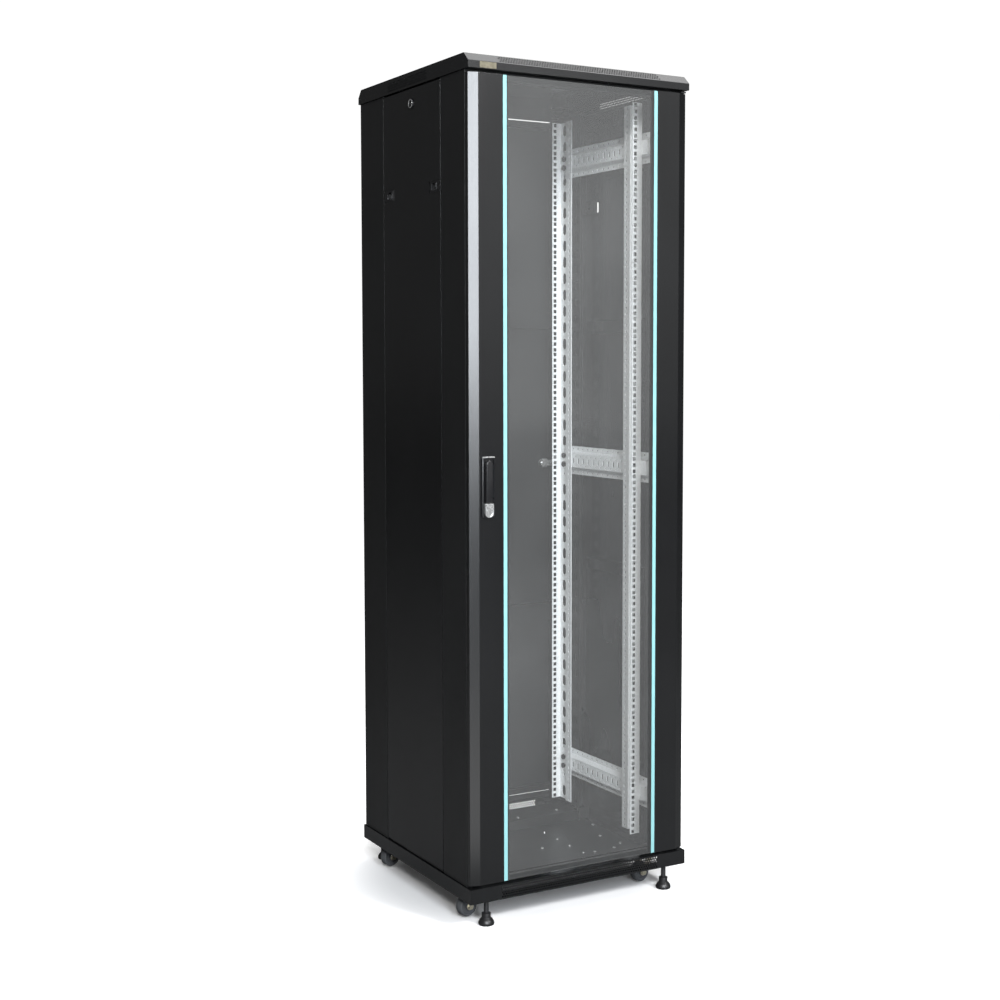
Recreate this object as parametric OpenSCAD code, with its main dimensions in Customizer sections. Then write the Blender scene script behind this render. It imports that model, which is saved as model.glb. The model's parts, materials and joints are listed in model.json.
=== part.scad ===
// Network server rack cabinet: 42 rack units, glazed front door, plain rear door,
// lift-off side panels, on four castors and four levelling feet.
// Millimetres. The origin is the bottom centre, on the floor. +Z is up, the front faces -Y.

/* [Cabinet] */
// Width of the roof and the plinth
cabinet_w = 614; // [606:1:630]
// Depth of the roof and the plinth
cabinet_d = 614; // [606:1:630]
// Overall height from the floor
cabinet_h = 2035; // [2030:1:2060]
// How far the roof and the plinth stand past the body
overhang = 4; // [3:0.5:5]
// Height of the plinth's underside above the floor
floor_gap = 60; // [60:1:64]
// Height of the plinth
plinth_h = 35; // [35:1:40]
// Height of the roof cover
roof_h = 36; // [34:1:40]
// Frame sheet thickness
sheet = 2; // [1.5:0.1:2.2]
// Door and side panel sheet thickness
skin = 1.5; // [1.2:0.1:1.6]

/* [Vents] */
// Width of a hexagonal vent hole across its corners
vent_hole = 5; // [4:0.1:5.6]
// Pitch of the vent holes along a row
vent_pitch = 6.9; // [6.6:0.1:8]
// Distance between the rows of vent holes
vent_row = 5.8; // [5.6:0.1:7]

/* [Mounting rails] */
// Rack units between the rail ends
units = 42; // [40:1:42]
// Height of the rails' lower end above the floor
rail_z = 114.5; // [112:0.5:118]
// Front face of the front rails
front_rail_y = -182; // [-190:1:-175]
// Rear face of the rear rails
rear_rail_y = 214; // [205:1:220]
// Width of the square mounting holes
square_hole = 9.5; // [9:0.1:10]

/* [Doors] */
// Width of the flat part and bevel of a front door stile
stile_w = 87.5; // [85:0.5:90]
// Width of the bevel on a stile's outer edge
bevel_w = 23; // [20:1:25]
// Depth of that bevel
bevel_d = 8; // [6:1:9]
// Depth of the front door
door_d = 21; // [20:1:22]
// Thickness of the door's glass
glass_t = 5; // [4:0.5:5]

/* [Wheels and feet] */
// Castor wheel diameter
wheel_dia = 50; // [48:1:50]
// Castor wheel width
wheel_w = 22; // [20:1:22]
// Trail of the castor wheel behind its swivel axis
trail = 25; // [22:1:25]
// Castor position from the centre, sideways
castor_x = 250; // [245:1:250]
// Castor position from the centre, front to back
castor_y = 217; // [217:1:219]
// Foot position from the centre, sideways
foot_x = 255; // [252:1:258]
// Foot position from the centre, front to back
foot_y = 287; // [286:1:288]

/* [Hidden] */
$fn = 48;

unit = 44.45;                       // one rack unit
hole_step = 15.875;                 // between the holes of one unit
hole_first = 6.35;                  // from a unit's edge to its first hole
hw = cabinet_w / 2;                 // half widths of the roof and the plinth
hd = cabinet_d / 2;
bw = hw - overhang;                 // half widths of the body
bd = hd - overhang;
base_z = floor_gap + plinth_h;      // top of the plinth
roof_z = cabinet_h - roof_h;        // underside of the roof cover
running = 0.05;                     // radial clearance of a shaft in its hole
slip = 0.3;                         // clearance between pieces that slide past each other

frame_x = 268;                      // inner faces of the frame's side flanges
front_y = -(bd - 22);               // front face of the front posts
post_front_d = 122;                 // depth of a front post's outer face
post_rear_d = 140;                  // depth of a rear post's outer face
front_flange = 101;                 // depth of a front post's inner face
rear_flange = 163;                  // depth of a rear post's inner face
door_front = -(bd + 1);             // front face of the front door
door_back = door_front + door_d;
door_z0 = base_z + 6;
door_z1 = roof_z - 8;
door_axis = [bw - 4, front_y - 9];  // the front door's hinge line
rear_axis = [-259.5, bd - 4.5];     // the rear door's hinge line
sill_z = base_z + 15;               // top of the rear sill
rear_z0 = sill_z + 1;
rear_z1 = roof_z - 3.5;
hinge_pin_r = 2.5;
lock_x = -(bw - 46);                // front lock centre line
lock_z0 = 971;
lock_z1 = 1114;
spindle_z = 1100;
lever_w = 20.5;
lever_t = 10;
lever_z0 = 1006;
escutcheon_t = 1.5;
lever_back = door_front - escutcheon_t - slip;
lever_axis_y = lever_back - lever_t / 2;
key_z = 984;
handle_reach = -(lever_back - lever_t);   // how far the front handle reaches from the centre
rear_lock = [243, 1050];
panel_y0 = front_y + post_front_d + 2;
panel_y1 = bd - post_rear_d - 2;
panel_z0 = base_z + 3;
panel_z1 = roof_z - 3;
panel_lock_z = 1960;
latch_z = 1748;
latch_l = 57;
latch_h = 27;
latch_travel = 8;
rail_x = 232.55;                    // centre of the square hole columns
rail_in = 224;                      // inner edge of a rail's front flange
rail_out = 252;                     // outer face of a rail's web
rail_h = units * unit;
depth_rail_z = [220, 1063, 1871];
depth_rail_y0 = -205;
depth_rail_y1 = 250;
hat_h = 77;
hat_web = 36;
hat_flange = 14;
pan_y0 = -190;                      // the low floor lies between these two steps
pan_y1 = 148;
step_z = base_z - 7;                // top of the steps before and behind it
step_front = front_y + 3;           // front edge of the front step
step_back = 244;                    // rear edge of the rear step
castor_plate_z = 76;
castor_rest = 192;                  // direction in which the castors trail at rest, degrees
fan_x = 148;                        // half sizes of the roof's fan opening
fan_y = 144;
stud_r = 6;

// ---- Building blocks ------------------------------------------------------------------

// Outline in (Y, Z), thickened from x towards +X
module wall_x(x, t) { translate([x, 0, 0]) rotate([90, 0, 90]) linear_extrude(t) children(); }

// Outline in (X, Z), thickened from y towards +Y
module wall_y(y, t) { translate([0, y + t, 0]) rotate([90, 0, 0]) linear_extrude(t) children(); }

// Outline in (X, Y), thickened from z towards +Z
module wall_z(z, t) { translate([0, 0, z]) linear_extrude(t) children(); }

module rect(x0, y0, x1, y1) { translate([x0, y0]) square([x1 - x0, y1 - y0]); }

module box(a, b) { translate(a) cube(b - a); }

module mirrored_x() { children(); mirror([1, 0, 0]) children(); }

module on_left() { mirror([1, 0, 0]) children(); }

module rounded_rect(w, h, r) {
    square([w - 2 * r, h], center = true);
    square([w, h - 2 * r], center = true);
    for (x = [-1, 1], y = [-1, 1]) translate([x * (w / 2 - r), y * (h / 2 - r)]) circle(r);
}

// A slot with round ends, l long and w wide, along the first axis
module slot(l, w) {
    square([l - w, w], center = true);
    for (x = [-1, 1]) translate([x * (l - w) / 2, 0]) circle(w / 2, $fn = 24);
}

// Staggered rows of hexagonal holes that fill a w by h field
module vent_field(w, h) {
    cols = floor(w / vent_pitch);
    rows = floor(h / vent_row);
    for (r = [0 : rows - 1], c = [0 : cols - 1 - r % 2])
        translate([(c - (cols - 1) / 2 + (r % 2) / 2) * vent_pitch,
                   (r - (rows - 1) / 2) * vent_row])
            circle(d = vent_hole, $fn = 6);
}

// Sheet bent along the points p; its thickness t lies to the left of the path
function along(a, b) = (b - a) / norm(b - a);
function left_of(d) = [-d[1], d[0]];
function inner_point(p, i, t) =
    let (last = len(p) - 1,
         a = left_of(along(p[max(i - 1, 0)], p[max(i, 1)])),
         b = left_of(along(p[min(i, last - 1)], p[min(i + 1, last)])))
    p[i] + (a + b) * t / (1 + a * b);
module bent_sheet(p, t) {
    polygon(concat(p, [for (i = [len(p) - 1 : -1 : 0]) inner_point(p, i, t)]));
}

// A hexagon head bolt along +Z: its head's underside is at 0 and its shank points down
module hex_bolt(r, shank, head_h, across) {
    cylinder(h = head_h, d = across / cos(30), $fn = 6);
    translate([0, 0, -shank]) cylinder(h = shank, r = r);
}

// ---- Base -----------------------------------------------------------------------------

module plinth_frame() {
    foot_flange = 42;
    side_flange = 17;
    lip = 5;
    color([0.26, 0.25, 0.24]) {
        for (x = [-hw, hw - sheet])
            wall_x(x, sheet) rect(-hd, floor_gap, hd, base_z);
        wall_y(-hd, sheet) difference() {
            rect(-hw + sheet, floor_gap, hw - sheet, base_z);
            translate([0, floor_gap + plinth_h / 2]) vent_field(452, 29);
        }
        wall_y(hd - sheet, sheet) difference() {
            rect(-hw + sheet, floor_gap, hw - sheet, base_z);
            translate([0, floor_gap + plinth_h / 2]) vent_field(452, 17.5);
        }
        wall_z(base_z - sheet, sheet) difference() {
            rect(-hw + sheet, -hd + sheet, hw - sheet, hd - sheet);
            rect(-frame_x, step_front, frame_x, hd - 20);
            rect(-hw + sheet + lip, pan_y0, hw - sheet - lip, pan_y1);
        }
        wall_z(floor_gap, sheet) difference() {
            rect(-hw + sheet, -hd + sheet, hw - sheet, hd - sheet);
            rect(-hw + side_flange, -hd + foot_flange, hw - side_flange, hd - foot_flange);
            for (x = [-1, 1], y = [-1, 1]) {
                translate([x * foot_x, y * foot_y]) circle(stud_r + running);
                translate([x * (foot_x - 28), y * foot_y]) circle(4 + running);
            }
        }
    }
}

// The low floor and the steps before and behind it, folded from one sheet
module bottom_panel() {
    floor_x = hw - 17;
    color([0.32, 0.33, 0.34]) {
        translate([-frame_x, 0, 0]) rotate([90, 0, 90]) linear_extrude(2 * frame_x)
            bent_sheet([[step_front, base_z - sheet], [step_front, step_z], [pan_y0, step_z],
                        [pan_y0, floor_gap + sheet], [pan_y1, floor_gap + sheet],
                        [pan_y1, step_z], [step_back, step_z], [step_back, step_z - 9]], -sheet);
        mirrored_x() {
            wall_z(floor_gap, sheet)
                rect(frame_x, pan_y0 - sheet, floor_x, pan_y1 + sheet);
            for (y = [pan_y0 - sheet, pan_y1])
                wall_y(y, sheet) rect(frame_x, floor_gap + sheet, hw - sheet, base_z - sheet);
        }
    }
}

module castor_cross_members() {
    half = 20;
    z0 = castor_plate_z + 3;
    z1 = step_z - sheet;
    color([0.30, 0.30, 0.31])
        for (y = [-castor_y, castor_y])
            translate([-(hw - sheet), y, 0]) rotate([90, 0, 90]) linear_extrude(2 * (hw - sheet))
                bent_sheet([[-half, z1], [-half, z0], [half, z0], [half, z1]], sheet);
}

module castor_plates() {
    color([0.78, 0.74, 0.62])
        for (x = [-castor_x, castor_x], y = [-castor_y, castor_y]) translate([x, y, 0]) {
            box([-29, -19, castor_plate_z], [29, 19, castor_plate_z + 3]);
            translate([0, 0, 69.5]) cylinder(h = castor_plate_z - 69.5, r = 20);
            translate([0, 0, 60]) cylinder(h = castor_plate_z - 60, r = 4);
            translate([0, 0, 59.5]) cylinder(h = 4.2, r = 6.5);
        }
}

module foot_lock_nuts() {
    color([0.15, 0.15, 0.15])
        for (x = [-foot_x, foot_x], y = [-foot_y, foot_y]) translate([x, y, floor_gap + sheet])
            difference() {
                cylinder(h = 9, d = 19 / cos(30), $fn = 6);
                translate([0, 0, -1]) cylinder(h = 11, r = stud_r + running);
            }
}

// ---- Frame ----------------------------------------------------------------------------

// One corner post at x > 0 whose front face is at y0; d is the depth of its outer face,
// flange that of its inner face, slot_y the place of the slots on it and step that of the
// base's step, past which the inner face reaches down to the low floor
module corner_post(y0, d, flange, slot_y, step) {
    h = roof_z - base_z;
    slots = floor(h / unit);
    color([0.24, 0.25, 0.26]) {
        wall_z(base_z, h)
            bent_sheet([[frame_x, y0], [bw, y0], [bw, y0 + d], [bw - 20, y0 + d]], sheet);
        wall_x(frame_x, sheet) difference() {
            union() {
                rect(y0 + sheet, base_z, y0 + flange, roof_z);
                rect(y0 + step, floor_gap + sheet, y0 + flange, base_z);
            }
            for (i = [0 : slots - 1])
                translate([y0 + slot_y, base_z + (i + 0.5) * unit]) rotate(90) slot(21, 8);
        }
    }
}

module corner_post_front_right() {
    corner_post(front_y, post_front_d, front_flange, 84, pan_y0 - front_y);
}
module corner_post_front_left() { on_left() corner_post_front_right(); }
module corner_post_rear_right() {
    mirror([0, 1, 0]) corner_post(-bd, post_rear_d, rear_flange, 145, bd - pan_y1);
}
module corner_post_rear_left() { on_left() corner_post_rear_right(); }

module top_beam_front() {
    low = roof_z - 20;
    color([0.22, 0.23, 0.24]) translate([-frame_x, 0, 0]) rotate([90, 0, 90])
        linear_extrude(2 * frame_x)
            bent_sheet([[front_y + 26, roof_z], [front_y, roof_z], [front_y, low],
                        [front_y + 12, low]], sheet);
}

module rear_sill() {
    color([0.22, 0.23, 0.24]) translate([-frame_x, 0, 0]) rotate([90, 0, 90])
        linear_extrude(2 * frame_x)
            bent_sheet([[bd, base_z], [bd, sill_z], [bd - 14, sill_z]], sheet);
}

module top_cover() {
    z_bend = roof_z + 16.5;
    profile = [[hd, roof_z], [hd, z_bend], [hd - 17, cabinet_h], [-hd + 22, cabinet_h],
               [-hd, z_bend], [-hd, roof_z]];
    chamfer = along(profile[4], profile[3]);
    chamfer_mid = (profile[3] + profile[4]) / 2;
    // Place and height of the vents on the left and the right skirt
    side_vents = [[-hw, 16, 16], [hw - sheet, -8, 13.5]];
    color([0.23, 0.25, 0.26]) {
        difference() {
            translate([-(hw - sheet), 0, 0]) rotate([90, 0, 90]) linear_extrude(2 * (hw - sheet))
                bent_sheet(profile, sheet);
            translate([0, chamfer_mid[0], chamfer_mid[1]])
                rotate([atan2(chamfer[1], chamfer[0]), 0, 0])
                    translate([0, 0, -5]) linear_extrude(8) vent_field(455, 24);
            box([-fan_x, -fan_y, cabinet_h - 5], [fan_x, fan_y, cabinet_h + 1]);
        }
        for (v = side_vents)
            wall_x(v[0], sheet) difference() {
                polygon(profile);
                translate([v[1], roof_z + v[2]]) vent_field(226, 24);
            }
        wall_z(roof_z, sheet) difference() {
            rect(-hw + sheet, -hd + sheet, hw - sheet, hd - sheet);
            rect(-hw + 40, -hd + 50, hw - 40, hd - 40);
            rect(-hw + 15, -155, hw - 15, 155);
        }
    }
}

// The plate that closes the fan opening from below, with its edges turned down
module fan_cover() {
    edge = 8;
    z = cabinet_h - sheet - skin;
    color([0.20, 0.21, 0.22]) {
        wall_z(z, skin) rect(-fan_x - edge, -fan_y - edge, fan_x + edge, fan_y + edge);
        wall_z(z - 3, 3) difference() {
            rect(-fan_x - edge, -fan_y - edge, fan_x + edge, fan_y + edge);
            rect(-fan_x - edge + skin, -fan_y - edge + skin, fan_x + edge - skin, fan_y + edge - skin);
        }
    }
}

module label_plate() {
    color([0.75, 0.76, 0.77]) wall_y(-hd - 0.5, 0.5) translate([-255.5, roof_z + 8.5])
        rounded_rect(43, 14, 1.5);
}

// ---- Rails ----------------------------------------------------------------------------

// A front-right rail, its front flange at y = 0 and its lower end at z = 0
module mounting_rail() {
    web_d = 44;
    foot_d = 25;
    step = 6.5;
    crossings = [for (z = depth_rail_z) z - rail_z];
    color([0.86, 0.88, 0.90]) {
        wall_y(0, sheet) difference() {
            rect(rail_in, 0, rail_out, rail_h);
            for (u = [0 : units - 1], k = [0 : 2])
                translate([rail_x, u * unit + hole_first + k * hole_step])
                    square(square_hole, center = true);
        }
        wall_x(rail_out - sheet, sheet) difference() {
            rect(sheet, 0, web_d, rail_h);
            for (u = [0 : units - 1])
                let (z = (u + 0.5) * unit, near = min([for (c = crossings) abs(z - c)]))
                    if (near > unit * 0.9) translate([web_d / 2, z]) rotate(90) slot(30, 18);
            for (c = crossings, s = [-12, 12])
                translate([web_d / 2, c + s]) slot(22, 8.4);
            for (c = crossings, k = [-3, -2, 2, 3])
                translate([web_d / 2, c + k * 12.7]) circle(3.5, $fn = 8);
        }
        wall_z(0, rail_h)
            rect(rail_out - step - sheet, web_d - sheet, rail_out - sheet, web_d);
        wall_x(rail_out - step - sheet, sheet) difference() {
            rect(web_d, 0, web_d + foot_d, rail_h);
            for (u = [0 : units - 1], k = [0 : 2])
                translate([web_d + 14, u * unit + hole_first + k * hole_step])
                    square([5, 7], center = true);
        }
    }
}

module mounting_rail_front_right() { translate([0, front_rail_y, rail_z]) mounting_rail(); }
module mounting_rail_front_left() { on_left() mounting_rail_front_right(); }
module mounting_rail_rear_right() {
    translate([0, rear_rail_y, rail_z]) mirror([0, 1, 0]) mounting_rail();
}
module mounting_rail_rear_left() { on_left() mounting_rail_rear_right(); }

// The hat section of a depth rail in (X, Z): its crown faces the rack, its brims the posts
module depth_rail(z0) {
    t = 1.5;
    brim = hat_h / 2 - hat_flange;
    web = hat_web / 2;
    len_y = depth_rail_y1 - depth_rail_y0;
    count = floor(len_y / 25) - 1;
    first = depth_rail_y0 + (len_y - (count - 1) * 25) / 2;
    color([0.80, 0.83, 0.85]) translate([0, 0, z0]) {
        wall_x(rail_out, t) difference() {
            rect(depth_rail_y0, -web, depth_rail_y1, web);
            for (i = [0 : count - 1]) translate([first + i * 25, 0]) square([6, 14], center = true);
            for (i = [0 : count - 2], z = [-12, 12])
                translate([first + (i + 0.5) * 25, z]) circle(2.6, $fn = 6);
            for (y = [front_rail_y + 22, rear_rail_y - 22], z = [-12, 12])
                translate([y, z]) square(9, center = true);
        }
        for (s = [-1, 1]) {
            translate([0, depth_rail_y1, 0]) rotate([90, 0, 0]) linear_extrude(len_y)
                polygon([[rail_out, s * web], [rail_out + t, s * web], [frame_x, s * brim],
                         [frame_x - t, s * brim]]);
            wall_x(frame_x - t, t) difference() {
                rect(depth_rail_y0, s > 0 ? brim : -hat_h / 2, depth_rail_y1, s > 0 ? hat_h / 2 : -brim);
                for (i = [0 : count - 1])
                    translate([first + i * 25, s * (brim + hat_flange / 2)]) circle(3, $fn = 6);
            }
        }
    }
}

module depth_rails_right() { for (z = depth_rail_z) depth_rail(z); }
module depth_rails_left() { on_left() depth_rails_right(); }

// An end plate that closes a depth rail's hat, with a tab along the post's flange
module depth_rail_brackets() {
    t = 2;
    color([0.90, 0.91, 0.92])
        for (z = depth_rail_z) mirrored_x() {
            for (e = [[depth_rail_y0 - t, depth_rail_y0 - 20], [depth_rail_y1, depth_rail_y1 + t]]) {
                translate([0, 0, z]) wall_y(e[0], t)
                    polygon([[rail_out, -16], [frame_x, -24], [frame_x, 24], [rail_out, 16]]);
                wall_x(frame_x - t, t) rect(e[1], z - 14, e[1] + 18, z + 14);
            }
        }
}

module frame_bolts() {
    color([0.20, 0.20, 0.21]) {
        for (z = depth_rail_z, y = [front_rail_y + 22, rear_rail_y - 22], s = [-12, 12])
            mirrored_x() translate([rail_out - sheet, y, z + s]) rotate([0, -90, 0])
                hex_bolt(4, 6, 5, 13);
        for (x = [-1, 1], y = [-1, 1])
            translate([x * (foot_x - 28), y * foot_y, floor_gap]) mirror([0, 0, 1])
                hex_bolt(4, 8, 5, 13);
    }
}

// ---- Hinges ---------------------------------------------------------------------------

module hinge_brackets() {
    color([0.35, 0.36, 0.37]) {
        for (e = [[base_z, base_z, 21], [roof_z - 6, roof_z - 23, 17]]) {
            box([bw - 14, door_back - 16, e[0]], [bw, front_y, e[0] + 3]);
            translate([door_axis[0], door_axis[1], e[1]]) cylinder(h = e[2], r = hinge_pin_r);
        }
        translate([rear_axis[0], rear_axis[1], sill_z]) {
            cylinder(h = 0.7, r = 4);
            cylinder(h = 15, r = hinge_pin_r);
        }
        translate([rear_axis[0], rear_axis[1], roof_z]) mirror([0, 0, 1]) {
            cylinder(h = 3, r = 4);
            cylinder(h = 18, r = hinge_pin_r);
        }
    }
}

// A block with the bore for a hinge pin, in (X, Y), from z0 up to z1
module hinge_block(axis, x0, y0, x1, y1, z0, z1) {
    wall_z(z0, z1 - z0) difference() {
        rect(x0, y0, x1, y1);
        translate(axis) circle(hinge_pin_r + running);
    }
}

// ---- Front door -----------------------------------------------------------------------

glass_x = bw - stile_w;
glass_back = door_front + 0.5 + glass_t;

module stile() {
    wall_z(door_z0, door_z1 - door_z0)
        bent_sheet([[glass_x - 17.5, glass_back], [glass_x, glass_back], [glass_x, door_front],
                    [bw - bevel_w, door_front], [bw, door_front + bevel_d], [bw, door_back],
                    [bw - 16, door_back]], skin);
}

module door_stile_right() {
    color([0.25, 0.26, 0.27]) {
        stile();
        for (z = [[door_z0, door_z0 + 20], [door_z1 - 20, door_z1]])
            hinge_block(door_axis, bw - 12, door_back - 13, bw - skin, door_back - skin, z[0], z[1]);
    }
}

module door_stile_left() {
    color([0.25, 0.26, 0.27]) difference() {
        on_left() stile();
        box([lock_x - 14, door_front - 1, lock_z0 + 12], [lock_x + 14, door_front + 3, lock_z1 - 4]);
    }
}

module door_glass() {
    color([0.30, 0.34, 0.36, 0.35])
        wall_y(door_front + 0.5, glass_t)
            rect(-glass_x + slip, door_z0 + 1, glass_x - slip, door_z1 - 1);
}

module glass_edge_strips() {
    color([0.76, 1, 1]) mirrored_x()
        wall_y(door_front, 0.5) rect(glass_x - 9.8, door_z0 + 1, glass_x - slip, door_z1 - 1);
}

module door_end_channels() {
    depth = glass_back + 13;
    end = glass_x - 17.5;
    color([0.20, 0.21, 0.22])
        for (z = [[door_z0 + 1, door_z0 + 13], [door_z1 - 1, door_z1 - 13]])
            translate([-end, 0, 0]) rotate([90, 0, 90]) linear_extrude(2 * end)
                if (z[1] > z[0])
                    bent_sheet([[depth, z[0]], [glass_back, z[0]], [glass_back, z[1]]], -skin);
                else
                    bent_sheet([[depth, z[0]], [glass_back, z[0]], [glass_back, z[1]]], skin);
}

module lock_escutcheon() {
    color([0.10, 0.10, 0.11]) difference() {
        union() {
            wall_y(door_front - escutcheon_t, escutcheon_t)
                translate([lock_x, (lock_z0 + lock_z1) / 2])
                    rounded_rect(34, lock_z1 - lock_z0, 4);
            box([lock_x - 13, door_front, lock_z0 + 13], [lock_x + 13, door_front + 16, lock_z1 - 5]);
        }
        translate([lock_x, door_front - 5, spindle_z]) rotate([-90, 0, 0])
            cylinder(h = 30, r = stud_r + running);
    }
}

module lock_cylinder() {
    front = lever_back - 8;
    color([0.80, 0.80, 0.80])
        wall_y(front, door_front - escutcheon_t - front) difference() {
            union() {
                translate([lock_x, lock_z0 + 11.5]) circle(11);
                rect(lock_x - 11, lock_z0 + 11.5, lock_x + 11, lever_z0 - 2);
            }
            translate([lock_x, key_z]) circle(6 + running);
        }
}

module key_plug() {
    front = lever_back - 8.3;
    back = door_front - escutcheon_t - slip;
    color([0.72, 0.70, 0.62]) difference() {
        wall_y(front, back - front) translate([lock_x, key_z]) circle(6);
        box([lock_x - 0.7, front - 1, key_z - 4], [lock_x + 0.7, front + 5, key_z + 4]);
    }
}

module lock_spindle() {
    cam_back = front_y + 6;
    tongue = 2.7;
    color([0.55, 0.56, 0.57]) {
        wall_y(door_front - escutcheon_t, cam_back - door_front + escutcheon_t)
            translate([lock_x, spindle_z]) circle(stud_r);
        wall_x(lock_x - tongue, 2 * tongue) {
            translate([lever_axis_y, spindle_z]) circle(4.5);
            rect(lever_axis_y, spindle_z - 4.5, door_front, spindle_z + 4.5);
        }
        wall_x(lock_x - 8, 16) translate([lever_axis_y, spindle_z]) circle(2);
        wall_y(cam_back - 3, 3) rect(lock_x - 8, spindle_z - 6.5, lock_x + 8, spindle_z + 6.5);
    }
}

module swing_handle() {
    front = lever_back - lever_t;
    color([0.07, 0.07, 0.08]) difference() {
        intersection() {
            wall_y(front - 1, lever_t + 2) union() {
                translate([lock_x, spindle_z + 5 - lever_w / 2]) circle(lever_w / 2);
                rect(lock_x - lever_w / 2, lever_z0, lock_x + lever_w / 2, spindle_z + 5 - lever_w / 2);
            }
            wall_x(lock_x - lever_w, 2 * lever_w) union() {
                translate([lever_axis_y, spindle_z]) circle(lever_t / 2);
                rect(front, lever_z0 + 3, lever_back, spindle_z);
                polygon([[front + 3, lever_z0], [lever_back, lever_z0], [lever_back, lever_z0 + 4],
                         [front, lever_z0 + 4], [front, lever_z0 + 3]]);
            }
        }
        box([lock_x - 3, front - 2, spindle_z - 4.8], [lock_x + 3, lever_back + 2, spindle_z + 9]);
        wall_x(lock_x - 8 - slip, 16 + 2 * slip) translate([lever_axis_y, spindle_z])
            circle(2 + running);
    }
}

// ---- Rear door ------------------------------------------------------------------------

module rear_door() {
    x0 = rear_axis[0] - 4.5;
    x1 = frame_x - 2.5;
    inner = bd - 20;
    color([0.24, 0.25, 0.26]) {
        wall_y(bd - skin, skin) difference() {
            rect(x0, rear_z0, x1, rear_z1);
            translate(rear_lock) circle(10);
        }
        for (x = [x0, x1 - skin]) wall_x(x, skin) rect(inner, rear_z0, bd - skin, rear_z1);
        for (z = [rear_z0 + 20, rear_z1 - 20 - skin])
            wall_z(z, skin) rect(x0 + skin, inner, x1 - skin, bd - skin);
        for (z = [628, 1449])
            translate([x0 + skin, 0, 0]) rotate([90, 0, 90]) linear_extrude(x1 - x0 - 2 * skin)
                bent_sheet([[bd - skin, z - 25], [inner + 4, z - 25], [inner + 4, z + 25],
                            [bd - skin, z + 25]], -skin);
        for (z = [[rear_z0, rear_z0 + 20], [rear_z1 - 20, rear_z1]])
            hinge_block(rear_axis, x0 + skin, bd - 12, x0 + 13, bd - skin, z[0], z[1]);
    }
}

module rear_lock_body() {
    color([0.12, 0.12, 0.13]) translate([rear_lock[0], bd, rear_lock[1]]) rotate([-90, 0, 0])
        difference() {
            union() {
                cylinder(h = 4, r = 13.5);
                translate([0, 0, -20]) cylinder(h = 20, r = 10);
            }
            translate([0, 0, -21]) cylinder(h = 26, r = 6 + running);
        }
}

module rear_lock_knob() {
    color([0.12, 0.12, 0.13]) {
        wall_y(bd - 24, 28 + slip) translate(rear_lock) circle(6);
        wall_y(bd + 4 + slip, handle_reach - bd - 4 - slip) translate(rear_lock)
            rounded_rect(9, 26, 4);
        wall_y(bd - 24, 3) rect(rear_lock[0] - 8, rear_lock[1] - 8, rear_lock[0] + 21.5, rear_lock[1] + 8);
    }
}

// ---- Side panels ----------------------------------------------------------------------

// Centre of a latch opening: e = -1 at the panel's front edge, 1 at its rear edge
function latch_y(e) = (e < 0 ? panel_y0 : panel_y1) - e * (latch_l / 2 + 4);

module side_panel_right() {
    edge = 14;
    color([0.11, 0.12, 0.12]) {
        wall_x(bw - skin, skin) difference() {
            rect(panel_y0, panel_z0, panel_y1, panel_z1);
            translate([0, panel_lock_z]) circle(10);
            for (e = [-1, 1]) translate([latch_y(e), latch_z]) square([latch_l, latch_h], center = true);
        }
        for (y = [panel_y0, panel_y1 - skin])
            wall_y(y, skin) rect(bw - edge, panel_z0, bw - skin, panel_z1);
        for (z = [panel_z0, panel_z1 - skin])
            wall_z(z, skin) rect(bw - edge, panel_y0 + skin, bw - skin, panel_y1 - skin);
        for (e = [-1, 1], s = [-1, 1]) translate([0, latch_y(e), latch_z + s * 16.5]) {
            box([bw - 8, -latch_l / 2, -1], [bw - skin, latch_l / 2, 1]);
            box([bw - 8, -latch_l / 2, s > 0 ? -5 : 1], [bw - 5.8, latch_l / 2, s > 0 ? -1 : 5]);
        }
    }
}

module side_panel_left() { on_left() side_panel_right(); }

module panel_lock_body_right() {
    color([0.12, 0.12, 0.13]) translate([bw, 0, panel_lock_z]) rotate([0, 90, 0]) difference() {
        union() {
            cylinder(h = 2.5, r = 13.5);
            translate([0, 0, -13]) cylinder(h = 13, r = 10);
        }
        translate([0, 0, -14]) cylinder(h = 18, r = 6 + running);
    }
}

module panel_lock_body_left() { on_left() panel_lock_body_right(); }

module panel_lock_plug_right() {
    color([0.70, 0.70, 0.70]) difference() {
        union() {
            wall_x(bw - 16.5, 18) translate([0, panel_lock_z]) circle(6);
            wall_x(bw - 16.5, 2.5) rect(-7, panel_lock_z - 7, 7, panel_lock_z + 20);
        }
        box([bw - 2, -4, panel_lock_z - 0.7], [bw + 3, 4, panel_lock_z + 0.7]);
    }
}

module panel_lock_plug_left() { on_left() panel_lock_plug_right(); }

// A latch that slides along the panel away from the edge e
module side_latch(e) {
    l = latch_l - latch_travel - 2 * slip;
    shift = e * (latch_l / 2 - slip - l / 2);
    color([0.20, 0.21, 0.22]) translate([0, latch_y(e), latch_z]) difference() {
        union() {
            wall_x(bw - 5.5, 5.5 - skin - slip) translate([shift, 0]) square([l + 4, 30], center = true);
            wall_x(bw - skin - slip, skin + slip) translate([shift, 0])
                rounded_rect(l, latch_h - 2 * slip, 2);
        }
        wall_x(bw - 4, 5) translate([shift - e * 6, 0]) rounded_rect(24, 17, 3);
    }
}

module side_latch_right_front() { side_latch(-1); }
module side_latch_right_rear() { side_latch(1); }
module side_latch_left_front() { on_left() side_latch(-1); }
module side_latch_left_rear() { on_left() side_latch(1); }

// ---- Castors and feet -----------------------------------------------------------------

axle_z = wheel_dia / 2 + 5;
axle_r = 4;

// Places its children at a castor: sx and sy are its corner's signs; +X is the trail
module at_castor(sx, sy) {
    translate([sx * castor_x, sy * castor_y, 0]) rotate(castor_rest) children();
}

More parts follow.
